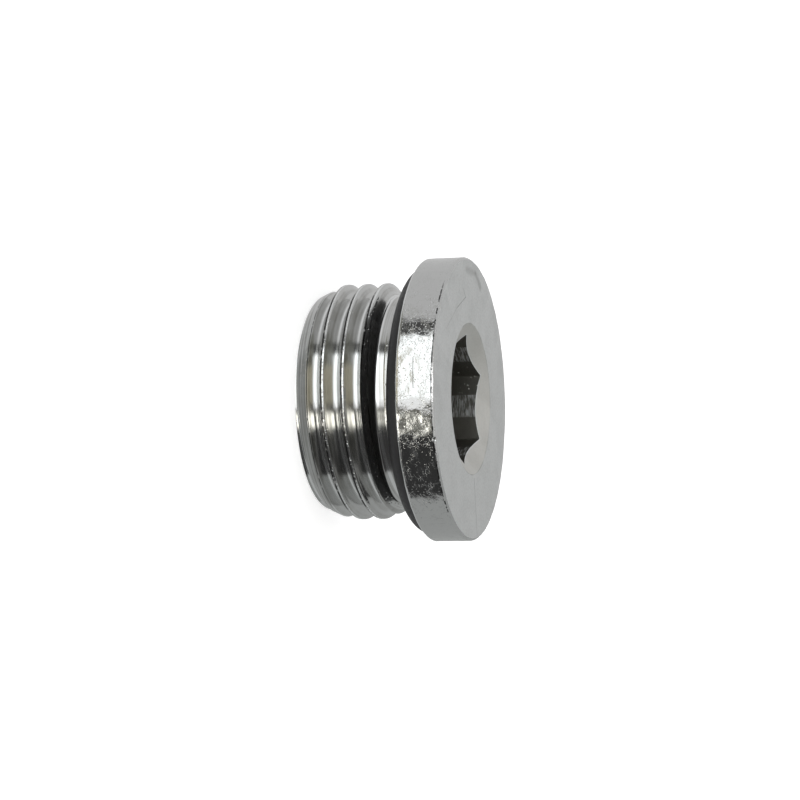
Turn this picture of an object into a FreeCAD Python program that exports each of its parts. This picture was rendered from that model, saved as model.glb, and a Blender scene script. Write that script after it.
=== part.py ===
import FreeCAD, Part
import math
import os

# G 1/2 hex socket screw plug with collar and captive seal ring.
# It stands on the end of its shank, +Z towards the outer face of the collar. Sizes in mm, angles in degrees.

# G 1/2 thread: 14 threads per inch, flanks at 27.5 degrees to a plane across the axis, flat at crest and root
THREAD_DIA = 20.955
THREAD_PITCH = 25.4 / 14
THREAD_DEPTH_IN_PITCHES = 0.640327
ROOT_FLAT_IN_PITCHES = 0.166667
FLANK_ANGLE = 27.5
CREST_ALLOWANCE = 0.0275
FIRST_GROOVE_HEIGHT = 1.827
GROOVE_OVERCUT = 0.08

# Shank, from its end face to the underside of the collar
SHANK_LENGTH = 9.85
END_CORNER = 0.25
LEAD_IN_DEPTH = 0.9
LEAD_IN_ANGLE = 24.0

# Relief between the thread and the collar
RELIEF_LENGTH = 3.7
RELIEF_BELOW_ROOT = 0.2155
RELIEF_ANGLE = 54.0
RELIEF_FILLET = 0.35

# Seal ring round the relief, and its recess in the underside of the collar
RING_SECTION = 2.6
RING_OVER_RELIEF = 0.2
RING_STANDS_PROUD = 1.1
RECESS_CLEARANCE = 0.02

# Collar
RIM_ROUND_RECESS = 0.58
COLLAR_THICKNESS = 3.4
COLLAR_FRONT_CHAMFER = 0.2
COLLAR_BACK_CHAMFER = 0.12

# Hexagon socket, with its pilot hole and the web left under the drill point
SOCKET_ACROSS_FLATS = 10.0
COUNTERSINK_OVER_CORNERS = 0.9
COUNTERSINK_ANGLE = 60.0
PILOT_CLEARANCE = 0.1
PILOT_POINT_ANGLE = 59.0
CHIP_ROOM = 1.0
WEB_UNDER_SOCKET = 2.3


def tan(degrees):
    return math.tan(math.radians(degrees))


# Radii from the thread outwards
THREAD_R = THREAD_DIA / 2
CREST_R = THREAD_R - CREST_ALLOWANCE
ROOT_R = THREAD_R - THREAD_DEPTH_IN_PITCHES * THREAD_PITCH
RELIEF_R = ROOT_R - RELIEF_BELOW_ROOT
RING_INNER_R = RELIEF_R + RING_OVER_RELIEF
RECESS_R = RING_INNER_R + RING_SECTION + RECESS_CLEARANCE
COLLAR_R = RECESS_R + RIM_ROUND_RECESS
END_FACE_R = CREST_R - LEAD_IN_DEPTH - END_CORNER

# Heights from the end face of the shank
LEAD_IN_TOP = END_CORNER + LEAD_IN_DEPTH / tan(LEAD_IN_ANGLE)
RELIEF_START = SHANK_LENGTH - RELIEF_LENGTH
RELIEF_FLOOR = RELIEF_START + (CREST_R - RELIEF_R) / tan(RELIEF_ANGLE)
RECESS_TOP = SHANK_LENGTH + RING_SECTION - RING_STANDS_PROUD
TOP = SHANK_LENGTH + COLLAR_THICKNESS

CENTRE = FreeCAD.Vector(0, 0, 0)
UP = FreeCAD.Vector(0, 0, 1)


def turned(points):
    """Solid of revolution about Z from (radius, height) points."""
    corners = [FreeCAD.Vector(r, 0, z) for r, z in points]
    face = Part.Face(Part.makePolygon(corners + corners[:1]))
    return face.revolve(CENTRE, UP, 360)


def blank():
    """The turned blank: shank, relief, and collar with the recess under it."""
    return turned([
        (0, 0),
        (END_FACE_R, 0),
        (END_FACE_R + END_CORNER, END_CORNER),
        (CREST_R, LEAD_IN_TOP),
        (CREST_R, RELIEF_START),
        (RELIEF_R, RELIEF_FLOOR),
        (RELIEF_R, RECESS_TOP),
        (RECESS_R, RECESS_TOP),
        (RECESS_R, SHANK_LENGTH),
        (COLLAR_R - COLLAR_BACK_CHAMFER, SHANK_LENGTH),
        (COLLAR_R, SHANK_LENGTH + COLLAR_BACK_CHAMFER),
        (COLLAR_R, TOP - COLLAR_FRONT_CHAMFER),
        (COLLAR_R - COLLAR_FRONT_CHAMFER, TOP),
        (0, TOP),
    ])


def round_relief(solid):
    """Round the inner corner where the relief meets the end of the thread."""
    corner = [
        edge for edge in solid.Edges
        if isinstance(edge.Curve, Part.Circle)
        and abs(edge.Curve.Radius - RELIEF_R) < 1e-6
        and abs(edge.Curve.Center.z - RELIEF_FLOOR) < 1e-6
    ]
    return solid.makeFillet(RELIEF_FILLET, corner)


def thread_grooves():
    """Grooves of the thread as rings one pitch apart, with the basic section of the real groove."""
    mouth_r = CREST_R + GROOVE_OVERCUT
    root_half = ROOT_FLAT_IN_PITCHES * THREAD_PITCH / 2
    mouth_half = root_half + (mouth_r - ROOT_R) * tan(FLANK_ANGLE)
    grooves = []
    height = FIRST_GROOVE_HEIGHT
    while height < RELIEF_FLOOR:
        grooves.append(turned([
            (mouth_r, height - mouth_half),
            (ROOT_R, height - root_half),
            (ROOT_R, height + root_half),
            (mouth_r, height + mouth_half),
        ]))
        height += THREAD_PITCH
    return grooves


def socket():
    """The space of the socket: hexagon, countersink, and pilot hole with its drill point."""
    corner_r = SOCKET_ACROSS_FLATS / math.sqrt(3)
    sink_r = corner_r + COUNTERSINK_OVER_CORNERS
    pilot_r = SOCKET_ACROSS_FLATS / 2 - PILOT_CLEARANCE
    pilot_floor = WEB_UNDER_SOCKET + pilot_r / tan(PILOT_POINT_ANGLE)
    hexagon_floor = pilot_floor + CHIP_ROOM
    above = 1.0
    corners = []
    for step in range(6):
        angle = math.radians(60 * step)
        corners.append(FreeCAD.Vector(corner_r * math.cos(angle), corner_r * math.sin(angle), hexagon_floor))
    face = Part.Face(Part.makePolygon(corners + corners[:1]))
    hexagon = face.extrude(FreeCAD.Vector(0, 0, TOP + above - hexagon_floor))
    countersink = turned([
        (0, TOP - sink_r / tan(COUNTERSINK_ANGLE)),
        (sink_r + above * tan(COUNTERSINK_ANGLE), TOP + above),
        (0, TOP + above),
    ])
    pilot = turned([
        (0, WEB_UNDER_SOCKET),
        (pilot_r, pilot_floor),
        (pilot_r, TOP),
        (0, TOP),
    ])
    return hexagon.fuse([countersink, pilot])


def plug_body():
    body = round_relief(blank())
    body = body.cut(thread_grooves())
    body = body.cut(socket())
    return max(body.Solids, key=lambda solid: solid.Volume)


def sealing_ring():
    """The seal ring, against the floor of the recess."""
    ring_r = RING_INNER_R + RING_SECTION / 2
    height = RECESS_TOP - RING_SECTION / 2
    return Part.makeTorus(ring_r, RING_SECTION / 2, FreeCAD.Vector(0, 0, height), UP)


os.makedirs("parts", exist_ok=True)
plug_body().exportStep("parts/plug_body.step")
sealing_ring().exportStep("parts/sealing_ring.step")
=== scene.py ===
import math
import random

import bmesh
import bpy
from mathutils import Matrix, Vector


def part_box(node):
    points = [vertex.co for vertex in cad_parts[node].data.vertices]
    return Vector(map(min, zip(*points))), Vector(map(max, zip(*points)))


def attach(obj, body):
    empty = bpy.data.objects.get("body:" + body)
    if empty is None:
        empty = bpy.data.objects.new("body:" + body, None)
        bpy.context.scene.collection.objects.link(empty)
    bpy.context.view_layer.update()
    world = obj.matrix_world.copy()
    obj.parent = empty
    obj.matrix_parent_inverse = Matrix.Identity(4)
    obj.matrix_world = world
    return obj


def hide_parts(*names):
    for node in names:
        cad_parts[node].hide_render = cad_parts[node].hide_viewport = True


bl_info = {
    "name": "Hex Socket Screw Plug",
    "version": (1, 0, 0),
    "blender": (4, 5, 0),
    "location": "3D View > Sidebar > Screw Plug",
    "description": "Models a collared screw plug with a hexagon socket, a pipe thread and a seal ring",
    "category": "Object",
}

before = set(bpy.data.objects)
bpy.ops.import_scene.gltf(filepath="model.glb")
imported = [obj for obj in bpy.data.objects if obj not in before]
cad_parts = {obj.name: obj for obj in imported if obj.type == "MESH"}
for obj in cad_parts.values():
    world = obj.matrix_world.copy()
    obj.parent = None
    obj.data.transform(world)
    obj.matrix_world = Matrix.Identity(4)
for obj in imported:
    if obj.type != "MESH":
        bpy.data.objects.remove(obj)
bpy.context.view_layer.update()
BODY_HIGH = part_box("plug_body")[1]
RING_LOW, RING_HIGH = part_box("sealing_ring")

MM = 0.001
MERGE_DISTANCE = 0.0005 * MM
PLACE_TOLERANCE = 0.002 * MM


def length(name, description, millimetres):
    """A length property in metres, with its default given in millimetres."""
    return bpy.props.FloatProperty(
        name=name, description=description, default=millimetres * MM,
        min=0.0, precision=5, subtype="DISTANCE", unit="LENGTH",
    )


def angle(name, description, degrees):
    """An angle property in radians, with its default given in degrees."""
    return bpy.props.FloatProperty(
        name=name, description=description, default=math.radians(degrees),
        subtype="ANGLE", unit="ROTATION",
    )


def share(name, description, default):
    """A plain number from 0 to 1."""
    return bpy.props.FloatProperty(name=name, description=description, default=default, min=0.0, max=1.0)


def colour(name, description, default):
    """A colour property in linear light."""
    return bpy.props.FloatVectorProperty(
        name=name, description=description, default=default, size=3, min=0.0, max=1.0, subtype="COLOR",
    )


class PlugSizes(bpy.types.PropertyGroup):
    """Sizes of the turned plug, measured from the end face of its shank."""

    height: length("Height", "From the end face of the shank to the face of the collar", BODY_HIGH.z / MM)
    collar_radius: length("Collar radius", "Outer radius of the collar", BODY_HIGH.x / MM)
    collar_thickness: length("Collar thickness", "From the underside of the collar to its face", 3.4)
    front_chamfer: length("Front chamfer", "Chamfer round the face of the collar", 0.2)
    back_chamfer: length("Back chamfer", "Chamfer round the underside of the collar", 0.12)
    recess_radius: length("Recess radius", "Recess for the seal ring in the underside of the collar", 11.92)
    recess_depth: length("Recess depth", "Depth of the recess above the underside of the collar", 1.5)
    relief_radius: length("Relief radius", "Neck between the thread and the collar", 9.1)
    relief_length: length("Relief length", "From the end of the thread to the collar", 3.7)
    relief_angle: angle("Relief angle", "Slope at the end of the thread, from the axis", 54)
    relief_fillet: length("Relief fillet", "Round between that slope and the neck", 0.35)
    end_corner: length("End corner", "Corner round the end face of the shank", 0.25)
    lead_in_depth: length("Lead-in depth", "How far the lead-in chamfer falls below the crests", 0.9)
    lead_in_angle: angle("Lead-in angle", "Slope of the lead-in chamfer, from the axis", 24)
    edge_round: length("Edge round", "Small round on the turned edges", 0.05)
    dent_depth: length("Dent depth", "Depth of the soft dents in the rim", 0.03)


class ThreadSizes(bpy.types.PropertyGroup):
    """The right-hand pipe thread on the shank."""

    crest_radius: length("Crest radius", "Outer radius of the thread", 10.45)
    root_radius: length("Root radius", "Radius at the bottom of the groove", 9.316)
    pitch: length("Pitch", "Rise of the thread in one turn, 14 to the inch", 25.4 / 14)
    flank_angle: angle("Flank angle", "Slope of each flank from a plane across the axis", 27.5)
    root_round: length("Root round", "Radius of the rounded bottom of the groove", 0.249)
    crest_round: length("Crest round", "Small round on the edges of the crests", 0.05)
    crest_height: length("Crest height", "Height of the lowest crest above the end face, on the side of +X", 1.385)


class SocketSizes(bpy.types.PropertyGroup):
    """The hexagon socket in the face of the collar."""

    across_flats: length("Across flats", "Width of the key that fits the socket", 10.0)
    hexagon_floor: length("Hexagon floor", "Height of the hexagon's floor above the end face of the shank", 6.24)
    corner_round: length("Corner round", "Small round in the corners of the hexagon", 0.1)
    countersink_radius: length("Countersink radius", "Radius of the countersink at the face", 6.6735)
    countersink_angle: angle("Countersink angle", "Slope of the countersink from the axis", 60)
    pilot_radius: length("Pilot radius", "Radius of the pilot hole under the hexagon", 4.9)
    pilot_point: length("Pilot point", "Height of the drill point above the end face of the shank", 2.3)
    pilot_angle: angle("Pilot angle", "Slope of the drill point from the axis", 59)


class SealSizes(bpy.types.PropertyGroup):
    """The seal ring under the collar."""

    section_radius: length("Section radius", "Radius of the ring's round section", (RING_HIGH.z - RING_LOW.z) / MM / 2)
    outer_radius: length("Outer radius", "Outer radius of the ring", RING_HIGH.x / MM)
    sag: length("Sag", "How far the ring's middle hangs below its place against the recess", 0.15)
    tilt: angle("Tilt", "How far the ring leans in its recess", 0.7)
    tilt_bearing: angle("Tilt bearing", "Direction of the ring's lowest point, from +X", 188.8)


class Finish(bpy.types.PropertyGroup):
    """Colours and gloss of the metal and the rubber, with the colours of the painted highlights and painted dark
    reflections.
    """

    nickel: colour("Nickel", "Colour of the nickel plating", (0.64, 0.645, 0.64))
    face_nickel: colour("Face nickel", "Colour of the satin plating on the face", (0.77, 0.78, 0.775))
    sink_nickel: colour("Sink nickel", "Colour of the thinner plating in the countersink", (0.68, 0.665, 0.62))
    # Dull plating on the thread, and painted shade in the rim's dents
    dull_nickel_and_dent_shade: colour("Dull nickel", "Colour of the plating where it is handled or thin", (0.48, 0.475, 0.455))
    # Darker colour given to the socket's walls and floor
    socket_metal: colour("Socket metal", "Colour of the thinly plated, broached walls", (0.37, 0.362, 0.335))
    scratch: colour("Scratch", "Colour of the scratches, the streaks and the stain", (0.26, 0.26, 0.25))
    # Painted dark reflection: the black broken lines on the crests and along the rim's front edge
    painted_dark_reflection: colour("Worn edge", "Colour of the broken lines on the crests and the rim's edge", (0.05, 0.05, 0.05))
    # Painted highlight: the white lines on the crests, in the roots, at the lead-in and along the back chamfer and the
    # hexagon's edge, and the bright chatter marks and burrs in the socket
    painted_highlight: colour("Bright edge", "Colour of the burnished edges and the chatter marks", (0.86, 0.87, 0.87))
    rubber: colour("Rubber", "Colour of the seal ring", (0.027, 0.027, 0.028))
    rubber_bloom: colour("Rubber bloom", "Colour of the pale specks on the seal ring", (0.06, 0.06, 0.06))
    thread_roughness: share("Thread roughness", "Roughness of the turned thread and neck", 0.10)
    rim_roughness: share("Rim roughness", "Roughness of the collar's rim between its dents", 0.07)
    face_roughness: share("Face roughness", "Roughness of the collar's satin face", 0.58)
    socket_roughness: share("Socket roughness", "Roughness of the broached walls", 0.30)
    rubber_roughness: share("Rubber roughness", "Roughness of the seal ring", 0.45)


class Studio(bpy.types.PropertyGroup):
    """Camera and light of the picture."""

    camera_distance: length("Camera distance", "From the camera to the middle of the plug", 250)
    aim_height: length("Aim height", "Height of the point on the axis that the camera turns about", 7.07)
    camera_elevation: angle("Elevation", "Height of the camera above the plug's horizon", 16.23)
    camera_roll: angle("Roll", "Tilt of the plug's axis in the picture", 1.47)
    camera_bearing: angle("Bearing", "Direction of the camera round the axis, from +X", 278.8)


STEPS_PER_TURN = 360
EDGE_SEGMENTS = 3
SEAL_STEPS = 240
SEAL_SECTION_STEPS = 36
SMOOTH_BELOW = math.radians(30)
HEXAGON_SIDES = 6
# How far the socket's cutters reach above the face
CUTTER_REACH = 1.0 * MM
RIM_ROWS = 14
DENT_SPACING = 0.8 * MM
RIM_NICKS = 150
RIM_NICK_SEED = 5
CREST_NICKS = 640
CREST_NICK_SEED = 11
# Bearing of the one large nick in the rim's edge, the radius of the ball that cuts it, and its depth
LARGE_NICK = (math.radians(294.2), 0.34 * MM, 0.2 * MM)
# The painted dark reflections, black broken lines on the crests and the rim's edge, are strongest on the camera's side
# and on the opposite side
DARK_REFLECTION_BEARING = math.radians(278.8)
# Ends of the long scratch in the rim: distance round the rim from +X, and height, in millimetres
RIM_SCRATCH = ((-21.4, 11.42), (-18.8, 11.5))
# Marks in the face of the collar: both ends, half the width and the softness, in millimetres, and the strength
FACE_MARKS = [
    ((6.9, 1.4), (11.8, 2.7), 0.03, 0.03, 0.5),
    ((-9.3, -3.2), (-8.7, -2.3), 0.03, 0.03, 0.35),
    ((-8.7, -2.3), (-7.2, -5.2), 0.03, 0.03, 0.5),
    ((-7.2, -5.2), (-4.8, -8.6), 0.02, 0.04, 0.25),
    ((-11.2, -2.2), (-11.4, 0.9), 0.10, 0.25, 0.3),
    ((-11.4, 0.9), (-10.5, 2.6), 0.15, 0.25, 0.4),
]


def set_mode(mode):
    bpy.ops.object.mode_set(mode=mode)


def deselect_everything():
    """Leave nothing selected in object mode."""
    if bpy.context.object is not None and bpy.context.object.mode != "OBJECT":
        set_mode("OBJECT")
    bpy.ops.object.select_all(action="DESELECT")


def make_active(piece):
    """Select one piece alone and make it the active one."""
    deselect_everything()
    piece.select_set(True)
    bpy.context.view_layer.objects.active = piece


def pick(piece, kind, wanted):
    """In edit mode, select only the VERT, EDGE or FACE elements for which wanted(centre, normal) is true.
    An edge gives its direction in place of a normal."""
    bpy.ops.mesh.select_mode(type=kind)
    bpy.ops.mesh.select_all(action="DESELECT")
    mesh = bmesh.from_edit_mesh(piece.data)
    if kind == "VERT":
        for vertex in mesh.verts:
            vertex.select_set(bool(wanted(vertex.co, vertex.normal)))
    elif kind == "EDGE":
        for edge in mesh.edges:
            ends = [vertex.co for vertex in edge.verts]
            edge.select_set(bool(wanted((ends[0] + ends[1]) / 2, (ends[1] - ends[0]).normalized())))
    else:
        for face in mesh.faces:
            face.select_set(bool(wanted(face.calc_center_median(), face.normal)))
    mesh.select_flush_mode()
    bmesh.update_edit_mesh(piece.data)


def draw_line(name, corners, closed=False):
    """Draw a wire through (radius, height, rounding) corners in the plane of X and Z by extruding a vertex."""
    deselect_everything()
    bpy.ops.mesh.primitive_plane_add(size=MM)
    piece = bpy.context.object
    piece.name = piece.data.name = name
    set_mode("EDIT")
    bpy.ops.mesh.select_mode(type="VERT")
    bpy.ops.mesh.select_all(action="SELECT")
    bpy.ops.mesh.merge(type="CENTER")
    bpy.ops.transform.translate(value=(corners[0][0], 0, corners[0][1]))
    for here, there in zip(corners, corners[1:]):
        step = (there[0] - here[0], 0, there[1] - here[1])
        bpy.ops.mesh.extrude_region_move(TRANSFORM_OT_translate={"value": step})
    if closed:
        ends = [Vector((corners[0][0], 0, corners[0][1])), Vector((corners[-1][0], 0, corners[-1][1]))]
        pick(piece, "VERT", lambda place, normal: min((place - end).length for end in ends) < PLACE_TOLERANCE)
        bpy.ops.mesh.edge_face_add()
    for radius, height, rounding in corners:
        if rounding > 0:
            corner = Vector((radius, 0, height))
            pick(piece, "VERT", lambda place, normal: (place - corner).length < PLACE_TOLERANCE)
            bpy.ops.mesh.bevel(offset=rounding, segments=EDGE_SEGMENTS, affect="VERTICES")
    return piece


def spin_round(piece):
    """Turn the drawn line about the axis into a closed solid."""
    bpy.ops.mesh.select_all(action="SELECT")
    bpy.ops.mesh.spin(steps=STEPS_PER_TURN, angle=math.tau, center=(0, 0, 0), axis=(0, 0, 1))
    bpy.ops.mesh.select_all(action="SELECT")
    bpy.ops.mesh.remove_doubles(threshold=MERGE_DISTANCE)
    bpy.ops.mesh.normals_make_consistent(inside=False)
    set_mode("OBJECT")
    return piece


def cut(piece, cutter):
    """Cut one solid out of another and remove the cutter."""
    make_active(piece)
    boolean = piece.modifiers.new("cut", "BOOLEAN")
    boolean.operation = "DIFFERENCE"
    boolean.solver = "MANIFOLD"
    boolean.object = cutter
    bpy.ops.object.modifier_apply(modifier=boolean.name)
    bpy.data.objects.remove(cutter)


def knock(piece, wanted, depth, spacing):
    """Press soft dents into the points of the piece for which wanted(place, normal) is true."""
    make_active(piece)
    set_mode("EDIT")
    pick(piece, "VERT", wanted)
    bpy.ops.object.vertex_group_assign_new()
    set_mode("OBJECT")
    pattern = bpy.data.textures.new("knocks", "CLOUDS")
    pattern.noise_scale = spacing
    pattern.noise_depth = 2
    pattern.contrast = 1.6
    press = piece.modifiers.new("knocks", "DISPLACE")
    press.texture = pattern
    press.texture_coords = "LOCAL"
    press.strength = depth
    # Above the pattern's highest value, so that every point moves inwards
    press.mid_level = 1.2
    press.vertex_group = piece.vertex_groups[-1].name
    bpy.ops.object.modifier_apply(modifier=press.name)
    bpy.ops.object.vertex_group_remove(all=True)
    bpy.data.textures.remove(pattern)


def underside(plug):
    """Height of the underside of the collar."""
    return plug.height - plug.collar_thickness


def face_radius(plug):
    """Radius at which the face ends and its chamfer starts."""
    return plug.collar_radius - plug.front_chamfer - plug.edge_round


def lead_in_top(plug):
    """Height at which the lead-in chamfer reaches the crests."""
    return plug.end_corner + plug.lead_in_depth / math.tan(plug.lead_in_angle)


def groove_corner(thread):
    """Radius at which the flanks of the groove would meet, but for its rounded bottom."""
    return thread.root_radius + thread.root_round * (1 - 1 / math.sin(thread.flank_angle))


def from_bearing(radius, bearing):
    """X and Y of the point at a radius and a bearing from +X."""
    return radius * math.cos(bearing), radius * math.sin(bearing)


def turned_blank(plug, thread):
    """The turned blank without its thread and socket."""
    top, under = plug.height, underside(plug)
    end_radius = thread.crest_radius - plug.lead_in_depth - plug.end_corner
    relief_start = under - plug.relief_length
    relief_floor = relief_start + (thread.crest_radius - plug.relief_radius) / math.tan(plug.relief_angle)
    recess_top = under + plug.recess_depth
    edge = plug.edge_round
    rim_low, rim_high = under + plug.back_chamfer, top - plug.front_chamfer
    rim = [(plug.collar_radius, rim_low + (rim_high - rim_low) * row / RIM_ROWS, 0) for row in range(1, RIM_ROWS)]
    piece = draw_line("plug_body_nickel", [
        (0, 0, 0),
        (end_radius, 0, edge),
        (end_radius + plug.end_corner, plug.end_corner, edge),
        (thread.crest_radius, lead_in_top(plug), edge),
        (thread.crest_radius, relief_start, edge),
        (plug.relief_radius, relief_floor, plug.relief_fillet / 2),
        (plug.relief_radius, recess_top, 0),
        (plug.recess_radius, recess_top, 0),
        (plug.recess_radius, under, edge),
        (plug.collar_radius - plug.back_chamfer, under, edge),
        (plug.collar_radius, rim_low, edge),
        *rim,
        (plug.collar_radius, rim_high, edge),
        (plug.collar_radius - plug.front_chamfer, top, edge),
        (0, top, 0),
    ])
    return spin_round(piece)


def groove_solid(thread):
    """The space of the helical groove, from below the end face up into the relief."""
    turns, turns_below = 6, 2
    above, graze = 0.3 * MM, 0.008 * MM
    widening = 0.6
    half_pitch = thread.pitch / 2
    slope = math.tan(thread.flank_angle)
    root_corner = groove_corner(thread)
    mouth_half = (thread.crest_radius - root_corner) * slope
    # The section widens just above the crests, over a share of each, so that its corner rounds their edges
    wide_half = mouth_half + (half_pitch - mouth_half) * widening
    low = [
        (thread.crest_radius + above, -wide_half, 0),
        (thread.crest_radius + graze, -wide_half, 0),
        (thread.crest_radius - graze, -mouth_half, thread.crest_round),
    ]
    high = [(radius, -height, rounding) for radius, height, rounding in reversed(low)]
    root_cut = thread.root_round * math.cos(thread.flank_angle) / math.sin(thread.flank_angle)
    piece = draw_line("groove", low + [(root_corner, 0, root_cut)] + high, closed=True)
    start = thread.crest_height + half_pitch - turns_below * thread.pitch
    bpy.ops.mesh.select_all(action="SELECT")
    bpy.ops.transform.translate(value=(0, 0, start))
    set_mode("OBJECT")
    screw = piece.modifiers.new("helix", "SCREW")
    screw.axis = "Z"
    screw.angle = math.tau
    screw.screw_offset = thread.pitch
    screw.iterations = turns
    screw.steps = screw.render_steps = STEPS_PER_TURN
    screw.use_merge_vertices = False
    bpy.ops.object.modifier_apply(modifier=screw.name)
    set_mode("EDIT")
    bpy.ops.mesh.select_mode(type="EDGE")
    bpy.ops.mesh.select_all(action="DESELECT")
    bpy.ops.mesh.select_non_manifold()
    bpy.ops.mesh.edge_face_add()
    bpy.ops.mesh.select_all(action="SELECT")
    bpy.ops.mesh.normals_make_consistent(inside=False)
    set_mode("OBJECT")
    return piece


def hexagon_cutter(plug, socket):
    """The hexagonal hole, with its corners slightly rounded and two of them on the X axis."""
    depth = plug.height + CUTTER_REACH - socket.hexagon_floor
    deselect_everything()
    bpy.ops.mesh.primitive_cylinder_add(
        vertices=HEXAGON_SIDES, radius=socket.across_flats / math.sqrt(3), depth=depth,
        location=(0, 0, socket.hexagon_floor + depth / 2), rotation=(0, 0, math.pi / HEXAGON_SIDES),
    )
    cutter = bpy.context.object
    bpy.ops.object.transform_apply(location=True, rotation=True, scale=True)
    set_mode("EDIT")
    pick(cutter, "EDGE", lambda centre, direction: abs(direction.z) > 0.9)
    bpy.ops.mesh.bevel(offset=socket.corner_round, segments=EDGE_SEGMENTS, affect="EDGES")
    set_mode("OBJECT")
    return cutter


def countersink_cutter(plug, socket):
    """The cone at the mouth of the socket."""
    slope = math.tan(socket.countersink_angle)
    return spin_round(draw_line("countersink", [
        (0, plug.height - socket.countersink_radius / slope, 0),
        (socket.countersink_radius + CUTTER_REACH * slope, plug.height + CUTTER_REACH, 0),
        (0, plug.height + CUTTER_REACH, 0),
    ]))


def pilot_cutter(plug, socket):
    """The pilot hole with its drill point."""
    shoulder = socket.pilot_point + socket.pilot_radius / math.tan(socket.pilot_angle)
    return spin_round(draw_line("pilot", [
        (0, socket.pilot_point, 0),
        (socket.pilot_radius, shoulder, 0),
        (socket.pilot_radius, plug.height, 0),
        (0, plug.height, 0),
    ]))


def balls(places):
    """Small balls at (x, y, z, radius), all in one mesh, that cut nicks."""
    deselect_everything()
    for number, (x, y, z, radius) in enumerate(places):
        bpy.ops.mesh.primitive_ico_sphere_add(subdivisions=2, radius=radius, location=(x, y, z))
        if number == 0:
            bpy.ops.object.transform_apply(location=True, rotation=True, scale=True)
            set_mode("EDIT")
    set_mode("OBJECT")
    return bpy.context.object


def rim_nick_cutter(plug):
    """The nicks round the collar's front edge. The first is the one large nick."""
    shift_in_steps, radius_mm, depth_in_radii, drop_in_chamfers = (0.25, 0.75), (0.07, 0.17), (0.15, 0.45), (0.7, 1.0)
    draw = random.Random(RIM_NICK_SEED)
    step = math.tau / RIM_NICKS
    nicks = [LARGE_NICK]
    for number in range(RIM_NICKS):
        bearing = (number + draw.uniform(*shift_in_steps)) * step
        radius = draw.uniform(*radius_mm) * MM
        depth = radius * draw.uniform(*depth_in_radii)
        if abs(bearing - LARGE_NICK[0]) > step:
            nicks.append((bearing, radius, depth))
    places = []
    for bearing, radius, depth in nicks:
        drop = plug.front_chamfer * draw.uniform(*drop_in_chamfers)
        rise = (radius - depth) / math.sqrt(2)
        places.append((*from_bearing(plug.collar_radius + rise, bearing), plug.height - drop + rise, radius))
    return balls(places)


def crest_nick_cutter(plug, thread):
    """The nicks along the crests of the thread, from the lead-in to the relief."""
    shift_in_steps, radius_mm, rise_in_radii, offset_mm = (0.3, 0.7), (0.05, 0.1), (0.3, 0.8), (-0.16, 0.16)
    draw = random.Random(CREST_NICK_SEED)
    low, high = lead_in_top(plug), underside(plug) - plug.relief_length
    first = (low - thread.crest_height) / thread.pitch
    turns = (high - low) / thread.pitch
    places = []
    for number in range(CREST_NICKS):
        turn = first + turns * (number + draw.uniform(*shift_in_steps)) / CREST_NICKS
        radius = draw.uniform(*radius_mm) * MM
        out = thread.crest_radius + radius * draw.uniform(*rise_in_radii)
        height = thread.crest_height + thread.pitch * turn + draw.uniform(*offset_mm) * MM
        places.append((*from_bearing(out, turn * math.tau), height, radius))
    return balls(places)


def paint_zone(piece, material, wanted):
    """Add a material to the piece and give it to the faces for which wanted(centre, normal) is true."""
    piece.data.materials.append(material)
    set_mode("EDIT")
    pick(piece, "FACE", wanted)
    piece.active_material_index = len(piece.data.materials) - 1
    bpy.ops.object.material_slot_assign()
    set_mode("OBJECT")


def plate(piece, plug, thread, socket, finish):
    """Give the thread and neck, the rim, the face and the socket each their own finish of nickel."""
    rim_start, under = face_radius(plug), underside(plug)
    sink_floor = plug.height - socket.countersink_radius / math.tan(socket.countersink_angle) / 2
    facing_up = 0.4

    def on_rim(centre, normal):
        return centre.xy.length > rim_start and centre.z > under - PLACE_TOLERANCE

    def on_face(centre, normal):
        return normal.z > facing_up and centre.z > sink_floor and centre.xy.length < rim_start

    def in_socket(centre, normal):
        inside = centre.xy.length < socket.countersink_radius and centre.z > socket.pilot_point
        return inside and (abs(normal.z) < facing_up or centre.z < sink_floor)

    piece.data.materials.clear()
    piece.data.materials.append(turned_nickel(finish, plug, thread))
    paint_zone(piece, tumbled_nickel(finish, plug), on_rim)
    paint_zone(piece, satin_nickel(finish, socket), on_face)
    paint_zone(piece, broached_nickel(finish, socket), in_socket)


class PLUG_OT_body(bpy.types.Operator):
    """Model the nickel-plated plug with its true helical thread and hexagon socket."""

    bl_idname = "screw_plug.body"
    bl_label = "Plug Body"

    def execute(self, context):
        scene = context.scene
        plug, thread, socket = scene.plug_sizes, scene.plug_thread, scene.plug_socket
        piece = turned_blank(plug, thread)
        rim_start = face_radius(plug)
        knock(piece, lambda place, normal: place.xy.length > rim_start, plug.dent_depth, DENT_SPACING)
        cut(piece, rim_nick_cutter(plug))
        cut(piece, hexagon_cutter(plug, socket))
        cut(piece, countersink_cutter(plug, socket))
        cut(piece, pilot_cutter(plug, socket))
        cut(piece, groove_solid(thread))
        cut(piece, crest_nick_cutter(plug, thread))
        make_active(piece)
        bpy.ops.object.shade_smooth_by_angle(angle=SMOOTH_BELOW)
        weighted = piece.modifiers.new("normals", "WEIGHTED_NORMAL")
        weighted.keep_sharp = True
        bpy.ops.object.modifier_apply(modifier=weighted.name)
        plate(piece, plug, thread, socket, scene.plug_finish)
        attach(piece, "root")
        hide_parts("plug_body")
        return {"FINISHED"}


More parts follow.
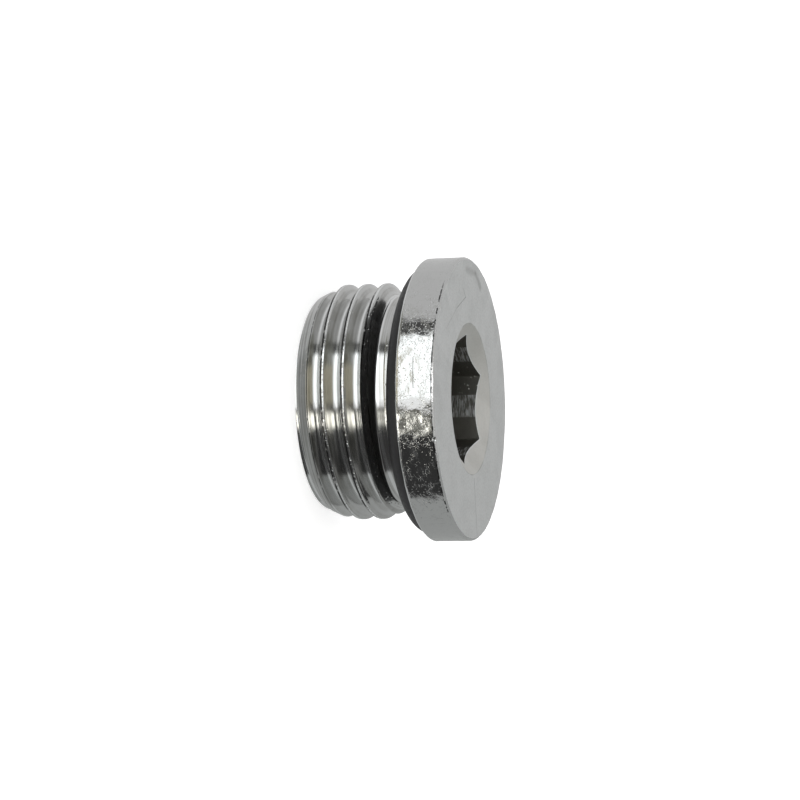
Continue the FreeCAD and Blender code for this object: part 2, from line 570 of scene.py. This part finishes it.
class PLUG_OT_seal(bpy.types.Operator):
    """Model the rubber seal ring that sits in the recess under the collar."""

    bl_idname = "screw_plug.seal"
    bl_label = "Seal Ring"

    def execute(self, context):
        seal = context.scene.plug_seal
        deselect_everything()
        resting = (RING_HIGH.z + RING_LOW.z) / 2
        hinge = Vector((math.sin(seal.tilt_bearing), -math.cos(seal.tilt_bearing), 0))
        lean = Matrix.Rotation(seal.tilt, 4, hinge)
        bpy.ops.mesh.primitive_torus_add(
            major_segments=SEAL_STEPS, minor_segments=SEAL_SECTION_STEPS,
            major_radius=seal.outer_radius - seal.section_radius, minor_radius=seal.section_radius,
            location=(0, 0, resting - seal.sag), rotation=lean.to_euler(),
        )
        piece = bpy.context.object
        piece.name = piece.data.name = "sealing_ring_rubber"
        bpy.ops.object.transform_apply(location=True, rotation=True, scale=True)
        bpy.ops.object.shade_smooth()
        piece.data.materials.append(satin_rubber(context.scene.plug_finish))
        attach(piece, "root")
        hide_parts("sealing_ring")
        return {"FINISHED"}


class Board:
    """Adds nodes to one node tree. Each value is another node's output, a number, a vector or a colour."""

    MIX_FIRST, MIX_SECOND, MIX_RESULT = 6, 7, 2

    def __init__(self, tree):
        self.nodes, self.links = tree.nodes, tree.links

    def feed(self, socket, value):
        """Join a value to an input socket, or write it there."""
        if isinstance(value, bpy.types.NodeSocket):
            self.links.new(value, socket)
        elif value is not None:
            socket.default_value = value

    def add(self, kind, **settings):
        """A new shader node with the given settings."""
        node = self.nodes.new("ShaderNode" + kind)
        for name, value in settings.items():
            setattr(node, name, value)
        return node

    def add_fed(self, kind, values, **settings):
        """A new shader node with values for its first inputs, or for the inputs that a dictionary names."""
        node = self.add(kind, **settings)
        pairs = values.items() if isinstance(values, dict) else enumerate(values)
        for key, value in pairs:
            self.feed(node.inputs[key], value)
        return node

    def math(self, operation, *values):
        """The result of an operation on numbers."""
        return self.add_fed("Math", values, operation=operation).outputs[0]

    def vector_math(self, operation, *values, result="Vector"):
        """The Vector or the Value that an operation on vectors gives."""
        return self.add_fed("VectorMath", values, operation=operation).outputs[result]

    def times(self, *values):
        """The product of two or more values."""
        product = values[0]
        for value in values[1:]:
            product = self.math("MULTIPLY", product, value)
        return product

    def minus(self, first, second):
        return self.math("SUBTRACT", first, second)

    def larger(self, first, second):
        return self.math("MAXIMUM", first, second)

    def mix(self, factor, first, second):
        """A blend of two colours."""
        values = {"Factor": factor, self.MIX_FIRST: first, self.MIX_SECOND: second}
        return self.add_fed("Mix", values, data_type="RGBA").outputs[self.MIX_RESULT]

    def noise(self, vector, scale, detail=2.0, extra=None):
        """Soft noise round 0.5, in three or four dimensions, with scale blobs to the millimetre."""
        values = {"Vector": vector, "Scale": scale, "Detail": detail}
        if extra is not None:
            values["W"] = extra
        node = self.add_fed("TexNoise", values, noise_dimensions="3D" if extra is None else "4D")
        return node.outputs["Fac"]

    def scattered(self, vector, scale, feature="F1"):
        """A node that measures from many scattered points or, by its feature, from the borders between them."""
        return self.add_fed("TexVoronoi", {"Vector": vector, "Scale": scale}, feature=feature)

    def from_point(self, vector, scale):
        """Distance to the nearest of many scattered points, as a share of their spacing."""
        return self.scattered(vector, scale).outputs["Distance"]

    def pocks(self, vector, scale, radius, share_kept):
        """Small round pocks: 1 at the middle of each, 0 round them. Only a share of them is kept, at random."""
        points = self.scattered(vector, scale)
        chance = self.add_fed("SeparateColor", [points.outputs["Color"]])
        kept = self.fade(chance.outputs[0], 1.0 - share_kept, 1.0)
        return self.times(kept, self.fade(points.outputs["Distance"], radius * scale, 0.0))

    def cracks(self, vector, scale, half_width):
        """Lines half way between scattered points, with half their width as a share of the points' spacing."""
        return self.fade(self.scattered(vector, scale, "DISTANCE_TO_EDGE").outputs["Distance"], half_width, 0.0)

    def vector(self, x, y, z):
        """A vector of three values."""
        return self.add_fed("CombineXYZ", (x, y, z)).outputs[0]

    def stroke(self, point, start, end, half_width, softness, waver):
        """1 along a straight line from start to end, both in the plane of the point, and 0 away from it."""
        line = Vector((end[0] - start[0], end[1] - start[1], 0))
        offset = self.vector_math("SUBTRACT", point, Vector((*start, 0)))
        reach = self.vector_math("DOT_PRODUCT", offset, line / line.length_squared, result="Value")
        limited = self.add_fed("Clamp", [reach]).outputs[0]
        foot = self.add_fed("VectorMath", {0: line, "Scale": limited}, operation="SCALE").outputs["Vector"]
        gap = self.vector_math("DISTANCE", offset, foot, result="Value")
        wavy = self.math("ADD", gap, self.times(waver, softness))
        return self.fade(wavy, half_width + 2 * softness, half_width)

    def bump(self, height, depth, under=None):
        """Relief from a height of 0 to 1, with its full depth in millimetres."""
        values = {"Height": height, "Distance": depth * MM, "Normal": under}
        return self.add_fed("Bump", values).outputs["Normal"]

    def hollow(self, height, depth, under=None):
        """As bump, but sunk where the height is 1."""
        return self.bump(self.minus(1.0, height), depth, under)

    def fade(self, value, start, end, low=0.0, high=1.0):
        """A smooth step from low to high as the value goes from start to end."""
        values = {"Value": value, "From Min": start, "From Max": end, "To Min": low, "To Max": high}
        return self.add_fed("MapRange", values, interpolation_type="SMOOTHSTEP").outputs["Result"]

    def window(self, value, middle, half, softness):
        """1 where the value is within half of the middle, fading to 0 outside."""
        size = self.math("ABSOLUTE", self.minus(value, middle))
        return self.fade(size, half + softness, half - softness)


def grey(level):
    """A grey as a node's colour."""
    return (level, level, level, 1)


def opaque(rgb):
    """A colour property as a node's colour."""
    return (*rgb, 1)


def new_material(name):
    """A material, its node board and its Principled shader."""
    material = bpy.data.materials.new(name)
    material.use_nodes = True
    return material, Board(material.node_tree), material.node_tree.nodes["Principled BSDF"]


class Place:
    """The shaded point in millimetres, also as radius and polar angle about the plug's axis."""

    def __init__(self, board):
        point = board.add("TexCoord").outputs["Object"]
        self.vector = board.add_fed("Mapping", {"Vector": point, "Scale": (1 / MM, 1 / MM, 1 / MM)}).outputs["Vector"]
        self.x, self.y, self.z = board.add_fed("SeparateXYZ", [self.vector]).outputs
        self.flat = board.vector(self.x, self.y, 0.0)
        self.polar = board.math("ARCTAN2", self.y, self.x)
        self.radius = board.vector_math("LENGTH", self.flat, result="Value")


def nickel(name):
    """A material for one of the plug's finishes, and the place of its shaded point."""
    material, board, shader = new_material(name)
    shader.inputs["Metallic"].default_value = 1.0
    return material, board, shader, Place(board)


def dress(board, shader, base_colour, roughness, normal=None):
    """Give a shader its colour, roughness and relief."""
    board.feed(shader.inputs["Base Color"], base_colour)
    board.feed(shader.inputs["Roughness"], roughness)
    board.feed(shader.inputs["Normal"], normal)


def painted_reflection_side(board, place, none, full):
    """1 on the near side of the picture and opposite it, 0 between, by the cosine of the angle from there. It sets
    where the painted dark reflections are strongest.
    """
    facing = board.math("ABSOLUTE", board.math("COSINE", board.minus(place.polar, DARK_REFLECTION_BEARING)))
    return board.fade(facing, none, full)


def beside_hexagon(board, place, socket):
    """The angle from the middle of the nearest wall of the hexagon, and the distance beyond that wall."""
    half_side = math.pi / HEXAGON_SIDES
    turn = board.math("WRAP", board.minus(place.polar, half_side), half_side, -half_side)
    reach = board.times(place.radius, board.math("COSINE", turn))
    return turn, board.minus(reach, socket.across_flats / MM / 2)


def helix_marks(board, place, rise, pitch):
    """Turning marks that run along the helix, many across it and long along it."""
    across_scale, along_scale, detail = 4.5, 0.07, 1.5
    across = board.times(board.math("FRACT", board.math("DIVIDE", rise, pitch)), pitch)
    x, y, z = (board.times(value, along_scale) for value in (place.x, place.y, place.z))
    return board.noise(board.vector(board.times(across, across_scale), x, y), 1.0, detail, z)


def first_edge(board, plug, thread, place, beside_crest):
    """The edge where the lead-in chamfer meets the first groove: how far the point is off that groove's flank,
    how far it is below the chamfer, and 1 at the height of the chamfer."""
    pitch = thread.pitch / MM
    beyond_corner = board.minus(place.radius, groove_corner(thread) / MM)
    half_groove = board.times(beyond_corner, math.tan(thread.flank_angle))
    off_flank = board.minus(board.minus(pitch / 2, half_groove), beside_crest)
    slope, top = math.tan(plug.lead_in_angle), lead_in_top(plug) / MM
    chamfer = board.math("ADD", board.times(board.minus(place.z, top), slope), thread.crest_radius / MM)
    return off_flank, board.minus(chamfer, place.radius), board.fade(place.z, top + 0.02, top - 0.02)


def turned_nickel(finish, plug, thread):
    """Nickel over the turned thread and neck: marks along the helix, knocked crests with a painted black broken line, a
    painted dark reflection, and a painted white line, a painted highlight, and painted highlights in the roots."""
    material, board, shader, place = nickel("nickel_turned")
    pitch = thread.pitch / MM
    crest_radius = thread.crest_radius / MM
    turned = board.times(place.polar, pitch / math.tau)
    rise = board.minus(board.minus(place.z, turned), thread.crest_height / MM)
    beside_crest = board.math("WRAP", rise, pitch / 2, -pitch / 2)
    from_crest = board.math("PINGPONG", rise, pitch / 2)
    marks = helix_marks(board, place, rise, pitch)
    tarnish_scale, gap_scale, knock_scale = 0.6, 2.6, 2.6
    knock_depth, mark_depth, streak_strength = 0.02, 0.004, 0.4

    tarnish = board.fade(board.noise(place.vector, tarnish_scale), 0.35, 0.65, 0.3, 1.0)
    dulled = board.times(tarnish, board.fade(marks, 0.35, 0.6, 0.0, 0.8))
    metal = board.mix(dulled, opaque(finish.nickel), opaque(finish.dull_nickel_and_dent_shade))
    streaks = board.times(board.fade(marks, 0.5, 0.66), streak_strength)
    metal = board.mix(streaks, metal, opaque(finish.scratch))

    on_crest = board.fade(place.radius, crest_radius - 0.15, crest_radius - 0.1)
    off_flank, off_lead, in_lead = first_edge(board, plug, thread, place, beside_crest)
    # Painted highlights: white lines on the crests and at the lead-in's edge, and white roots
    white = board.larger(
        board.times(on_crest, board.window(beside_crest, 0.07, 0.07, 0.03)),
        board.times(in_lead, board.window(off_flank, 0.0, 0.01, 0.01), board.window(off_lead, 0.06, 0.05, 0.02)),
    )
    white = board.larger(white, board.fade(from_crest, pitch / 2 - 0.2, pitch / 2 - 0.1))
    # Painted dark reflections: black lines on the crests and at the lead-in's edge, broken up and strongest on the
    # camera's side
    black = board.larger(
        board.times(on_crest, board.window(beside_crest, -0.075, 0.08, 0.02)),
        board.times(in_lead, board.window(off_flank, 0.07, 0.05, 0.015), board.window(off_lead, 0.0, 0.02, 0.01)),
    )
    broken = board.fade(board.noise(place.vector, gap_scale), 0.31, 0.44)
    black = board.times(black, broken, painted_reflection_side(board, place, 0.35, 0.55))
    metal = board.mix(white, metal, opaque(finish.painted_highlight))
    metal = board.mix(black, metal, opaque(finish.painted_dark_reflection))

    unknocked = board.fade(board.from_point(place.vector, knock_scale), 0.05, 0.3)
    relief = board.bump(board.times(unknocked, board.fade(from_crest, 0.32, 0.2)), knock_depth)
    rough, spread = finish.thread_roughness, 0.1
    dress(
        board, shader, metal, board.fade(marks, 0.3, 0.7, rough, rough + spread), board.bump(marks, mark_depth, relief),
    )
    return material


def tumbled_nickel(finish, plug):
    """Nickel over the rim of the collar, dented all over by other plugs in the plating barrel, with painted shade in
    the dents, a painted dark reflection along the front edge and a painted highlight along the back chamfer.
    """
    material, board, shader, place = nickel("nickel_tumbled")
    warp_scale, peel_scale, crack_scale, crack_patches, wrinkle_scale, gap_scale = 1.6, 2.2, 2.4, 1.1, 4.2, 2.4
    peel_depth, wrinkle_depth, crack_depth, pock_depth = 0.006, 0.006, 0.005, 0.02

    warp = board.noise(place.vector, warp_scale)
    bent = board.vector_math("ADD", place.vector, board.vector(warp, warp, warp))
    peel = board.noise(place.vector, peel_scale)
    cracks = board.times(
        board.cracks(bent, crack_scale, 0.035), board.fade(board.noise(place.vector, crack_patches), 0.5, 0.6),
    )
    wrinkles = board.noise(place.vector, wrinkle_scale)
    pocks = board.larger(board.pocks(bent, 3.0, 0.09, 0.5), board.pocks(place.vector, 5.2, 0.06, 0.7))
    unrolled = board.vector(board.times(place.polar, plug.collar_radius / MM), place.z, 0.0)
    scratch = board.stroke(unrolled, *RIM_SCRATCH, 0.03, 0.015, peel)
    # Painted dark reflection: a broken black line along the front chamfer, strongest on the camera's side and opposite
    # it
    edge = board.times(
        board.window(place.z, (plug.height - plug.front_chamfer) / MM, 0.05, 0.03),
        board.fade(board.noise(place.vector, gap_scale), 0.45, 0.55),
        painted_reflection_side(board, place, 0.55, 0.7),
    )
    chamfer_top = (underside(plug) + plug.back_chamfer + plug.edge_round) / MM
    on_back_chamfer = board.fade(place.z, chamfer_top + 0.02, chamfer_top - 0.02)

    # The pocks are painted half way to dull nickel: painted shade in the dents
    metal = board.mix(board.times(pocks, 0.5), opaque(finish.nickel), opaque(finish.dull_nickel_and_dent_shade))
    metal = board.mix(scratch, metal, opaque(finish.scratch))
    # Painted highlight along the back chamfer
    metal = board.mix(on_back_chamfer, metal, opaque(finish.painted_highlight))
    metal = board.mix(edge, metal, opaque(finish.painted_dark_reflection))
    relief = board.bump(wrinkles, wrinkle_depth, board.bump(peel, peel_depth))
    relief = board.hollow(pocks, pock_depth, board.hollow(cracks, crack_depth, relief))
    rough, spread = finish.rim_roughness, 0.05
    dress(board, shader, metal, board.fade(peel, 0.3, 0.7, rough, rough + spread), relief)
    return material


def satin_nickel(finish, socket):
    """Nickel over the satin face of the collar and its countersink, with a few fine scratches and a stain, and a
    painted highlight along the hexagon's edge.
    """
    material, board, shader, place = nickel("nickel_satin")
    cloud_scale, grain_scale, grain_depth = 0.45, 5.0, 0.006
    mouth = socket.countersink_radius / MM

    cloud = board.fade(board.noise(place.vector, cloud_scale, 5.0), 0.35, 0.7)
    grain = board.noise(place.vector, grain_scale, 4.0)
    dulled = board.math("ADD", board.times(cloud, 0.15), board.fade(grain, 0.35, 0.7, 0.0, 0.5))
    metal = board.mix(dulled, opaque(finish.face_nickel), opaque(finish.nickel))
    for *line, strength in FACE_MARKS:
        mark = board.stroke(place.flat, *line, cloud)
        metal = board.mix(board.times(mark, strength), metal, opaque(finish.scratch))

    sunk = board.fade(place.radius, mouth + 0.02, mouth - 0.02)
    metal = board.mix(board.times(sunk, 0.6), metal, opaque(finish.sink_nickel))
    ring = board.times(board.window(place.radius, mouth, 0.03, 0.04), board.fade(cloud, 0.1, 0.6, 0.2, 0.55))
    metal = board.mix(ring, metal, opaque(finish.scratch))
    # Painted highlight: a thin light line along the edge of the hexagon's walls
    beyond_wall = beside_hexagon(board, place, socket)[1]
    metal = board.mix(board.fade(beyond_wall, 0.1, 0.04), metal, opaque(finish.painted_highlight))
    rough, spread = finish.face_roughness, 0.06
    dress(
        board, shader, metal, board.fade(cloud, 0.0, 1.0, rough - spread, rough + spread),
        board.bump(grain, grain_depth),
    )
    return material


def broached_nickel(finish, socket):
    """The hexagon's walls and floor: darker metal, with a band of chatter marks painted bright on each wall, a painted
    highlight, and small burrs between the band and the corners, painted bright as glints."""
    material, board, shader, place = nickel("nickel_broached")
    chatter_scale, width_scale, chatter_depth = 7.5, 1.2, 0.01
    band_middle, band_half, band_softness = math.radians(1.5), math.radians(11.3), math.radians(0.6)
    burrs_start, burrs_full = math.radians(13), math.radians(16)
    burr_scale, burr_radius, burrs_kept, burr_patches, burr_depth = 2.6, 0.12, 0.8, 0.5, 0.08

    lane = board.vector(*map(board.times, (place.x, place.y, place.z), (width_scale, width_scale, chatter_scale)))
    chatter = board.noise(lane, 1.0)
    turn, beyond_wall = beside_hexagon(board, place, socket)
    on_wall = board.fade(beyond_wall, -0.06, -0.03)
    band = board.window(turn, band_middle, band_half, band_softness)
    # Chatter marks in a band on each wall, painted bright: real marks with a painted highlight
    streaks = board.times(band, on_wall, board.fade(chatter, 0.43, 0.6, 0.05, 1.0))
    near_corner = board.fade(board.math("ABSOLUTE", turn), burrs_start, burrs_full)
    patches = board.fade(board.noise(place.vector, burr_patches, 1.0), 0.42, 0.5)
    burrs = board.times(board.pocks(place.vector, burr_scale, burr_radius, burrs_kept), near_corner, on_wall, patches)

    # The chatter band and the burrs take the highlight colour; the burrs' bright colour is a painted glint
    metal = board.mix(streaks, opaque(finish.socket_metal), opaque(finish.painted_highlight))
    metal = board.mix(burrs, metal, opaque(finish.painted_highlight))
    unevenness = board.larger(board.times(streaks, 0.4), burrs)
    rough, spread = finish.socket_roughness, 0.4
    dress(
        board, shader, metal, board.fade(unevenness, 0.0, 1.0, rough, rough + spread),
        board.bump(burrs, burr_depth, board.bump(chatter, chatter_depth)),
    )
    return material


def satin_rubber(finish):
    """Satin black rubber, with a faint skin and a few pale specks."""
    material, board, shader = new_material("seal_rubber_satin")
    shader.inputs["Specular IOR Level"].default_value = 0.35
    place = Place(board)
    skin_scale, speck_scale, skin_depth = 3.0, 2.4, 0.006
    skin = board.noise(place.vector, skin_scale, 4.0)
    specks = board.times(
        board.fade(board.from_point(place.vector, speck_scale), 0.16, 0.06), board.fade(skin, 0.45, 0.6),
    )
    rubber = board.mix(specks, opaque(finish.rubber), opaque(finish.rubber_bloom))
    rough, spread = finish.rubber_roughness, 0.08
    dress(
        board, shader, rubber, board.fade(skin, 0.3, 0.7, rough - spread, rough + spread),
        board.bump(skin, skin_depth),
    )
    return material


class PLUG_OT_studio(bpy.types.Operator):
    """Set up the floor, the soft light and the camera."""

    bl_idname = "screw_plug.studio"
    bl_label = "Studio"

    def execute(self, context):
        studio = context.scene.plug_studio
        make_floor()
        make_world(context.scene, studio)
        make_camera(context.scene, studio)
        context.scene.view_settings.view_transform = "Standard"
        return {"FINISHED"}


def make_floor():
    """A large pale floor that the plug stands on. The camera sees it white, with the plug's soft shadow."""
    metres_wide, shade, roughness, glow = 6.0, 0.9, 0.9, 0.5
    deselect_everything()
    bpy.ops.mesh.primitive_plane_add(size=metres_wide, location=(0, 0, 0))
    floor = bpy.context.object
    floor.name = "floor"
    material, board, shader = new_material("pale_floor")
    seen_by_camera = board.add("LightPath").outputs["Is Camera Ray"]
    dress(board, shader, grey(shade), roughness)
    board.feed(shader.inputs["Emission Color"], grey(1.0))
    board.feed(shader.inputs["Emission Strength"], board.times(seen_by_camera, glow))
    floor.data.materials.append(material)
    floor.visible_glossy = False


# Each panel of the studio round the plug: bearing from the camera towards the top of the picture, half its
# width, elevation, half its height and softness of its edge, in degrees, then its colour and brightness
PANELS = [
    ("high side", 122, 58, 10, 80, 3, (0.61, 0.61, 0.61)),
    ("low side", -132, 47, 10, 80, 3, (0.39, 0.40, 0.395)),
    ("floor", 0, 180, -72, 27, 3, (0.35, 0.36, 0.355)),
    ("high floor", 115, 30, -60, 18, 8, (0.58, 0.59, 0.59)),
    ("dark strip", 61, 7, -8, 12, 3, (0.08, 0.08, 0.08)),
    ("strip below", 67, 15, -32, 13, 3, (0.34, 0.34, 0.31)),
    ("corner below", 48, 6, -33, 12, 3, (0.24, 0.23, 0.19)),
    ("dark line below", 66, 2, -32, 13, 2, (0.12, 0.12, 0.10)),
    ("softbox", 26, 28, 0, 20, 3, (1.7, 1.75, 1.76)),
    ("warm below the softbox", 14, 28, -31, 12, 3, (0.62, 0.575, 0.45)),
    ("middle", -15, 14, -8, 26, 3, (0.17, 0.165, 0.145)),
    ("bright strip 1", -3, 3, -12, 9, 1.5, (1.2, 1.2, 1.2)),
    ("bright strip 2", -13, 1, -12, 9, 1, (0.6, 0.6, 0.55)),
    ("bright strip 3", -22, 1, -12, 9, 1, (0.5, 0.5, 0.45)),
    ("lamp below", -20, 8, -30, 11, 3, (3.6, 3.5, 3.2)),
    ("dark low side below", -52, 22, -33, 14, 9, (0.06, 0.06, 0.055)),
    ("dark low side", -56, 29, 0, 20, 2, (0.04, 0.04, 0.04)),
    ("dark overhead", 0, 80, 40, 17, 4, (0.055, 0.055, 0.055)),
    ("ceiling", 0, 180, 85, 21, 3, (0.66, 0.66, 0.65)),
    ("bright overhead", 20, 28, 70, 10, 3, (2.2, 2.2, 2.2)),
]


def make_world(scene, studio):
    """Plain pale light all round, and soft panels that gloss and metal reflect. The camera sees plain white."""
    world = bpy.data.worlds.new("studio")
    scene.world = world
    world.use_nodes = True
    board = Board(world.node_tree)
    x, y, z = board.add_fed("SeparateXYZ", [board.add("TexCoord").outputs["Generated"]]).outputs
    bearing = board.minus(studio.camera_bearing, board.math("ARCTAN2", y, x))
    elevation = board.math("ARCSINE", z)
    between_panels, all_round, background = grey(0.5), grey(0.9), grey(1.0)
    seen = between_panels
    for name, *degrees, brightness in PANELS:
        middle, half_width, height, half_height, softness = map(math.radians, degrees)
        away = board.math("WRAP", board.minus(bearing, middle), math.pi, -math.pi)
        wide = board.window(away, 0.0, half_width, softness)
        tall = board.window(elevation, height, half_height, softness)
        seen = board.mix(board.times(wide, tall), seen, opaque(brightness))
        seen.node.label = name
    path = board.add("LightPath")
    light = board.mix(path.outputs["Is Glossy Ray"], all_round, seen)
    light = board.mix(path.outputs["Is Camera Ray"], light, background)
    board.feed(world.node_tree.nodes["Background"].inputs["Color"], light)


def make_camera(scene, studio):
    """The camera of the picture: the plug's axis runs to the right, a little towards the camera and upwards."""
    pixels_per_mm, frame_pixels, sensor_mm = 11.285, 800, 36
    pixels_right, pixels_up = 3.87, -0.65
    shift_right = pixels_right / pixels_per_mm * MM
    shift_up = pixels_up / pixels_per_mm * MM
    elevation, roll, bearing = studio.camera_elevation, studio.camera_roll, studio.camera_bearing
    along = Vector((math.cos(elevation) * math.cos(roll), math.cos(elevation) * math.sin(roll), math.sin(elevation)))
    upward = Vector((-math.sin(roll), math.cos(roll), 0))
    nearer = along.cross(upward)
    near_side = Vector((*from_bearing(1, bearing), 0))
    up_side = Vector((*from_bearing(1, bearing - math.pi / 2), 0))
    axis = Vector((0, 0, 1))
    right, up, back = (along[i] * axis + upward[i] * up_side + nearer[i] * near_side for i in range(3))
    aim = axis * studio.aim_height
    place = aim + back * studio.camera_distance - right * shift_right - up * shift_up
    data = bpy.data.cameras.new("picture_camera")
    data.sensor_width = sensor_mm
    data.lens = pixels_per_mm * studio.camera_distance / MM * sensor_mm / frame_pixels
    data.clip_start = 10 * MM
    camera = bpy.data.objects.new("picture_camera", data)
    scene.collection.objects.link(camera)
    rows = [[right[i], up[i], back[i], place[i]] for i in range(3)]
    camera.matrix_world = Matrix(rows + [[0, 0, 0, 1]])
    scene.camera = camera


class PLUG_PT_panel(bpy.types.Panel):
    """The plug's tools and sizes."""

    bl_label = "Screw Plug"
    bl_idname = "PLUG_PT_panel"
    bl_space_type = "VIEW_3D"
    bl_region_type = "UI"
    bl_category = "Screw Plug"

    def draw(self, context):
        for operator in (PLUG_OT_body, PLUG_OT_seal, PLUG_OT_studio):
            self.layout.operator(operator.bl_idname)
        for name in GROUPS:
            group = getattr(context.scene, name)
            box = self.layout.box()
            for field in group.bl_rna.properties.keys():
                if field not in ("rna_type", "name"):
                    box.prop(group, field)


GROUPS = {
    "plug_sizes": PlugSizes,
    "plug_thread": ThreadSizes,
    "plug_socket": SocketSizes,
    "plug_seal": SealSizes,
    "plug_finish": Finish,
    "plug_studio": Studio,
}
CLASSES = [*GROUPS.values(), PLUG_OT_body, PLUG_OT_seal, PLUG_OT_studio, PLUG_PT_panel]


def register():
    for item in CLASSES:
        bpy.utils.register_class(item)
    for name, group in GROUPS.items():
        setattr(bpy.types.Scene, name, bpy.props.PointerProperty(type=group))


def unregister():
    for name in GROUPS:
        delattr(bpy.types.Scene, name)
    for item in reversed(CLASSES):
        bpy.utils.unregister_class(item)


def main():
    """Build the plug, the studio and the camera."""
    register()
    bpy.ops.screw_plug.body()
    bpy.ops.screw_plug.seal()
    bpy.ops.screw_plug.studio()


if __name__ == "__main__":
    main()
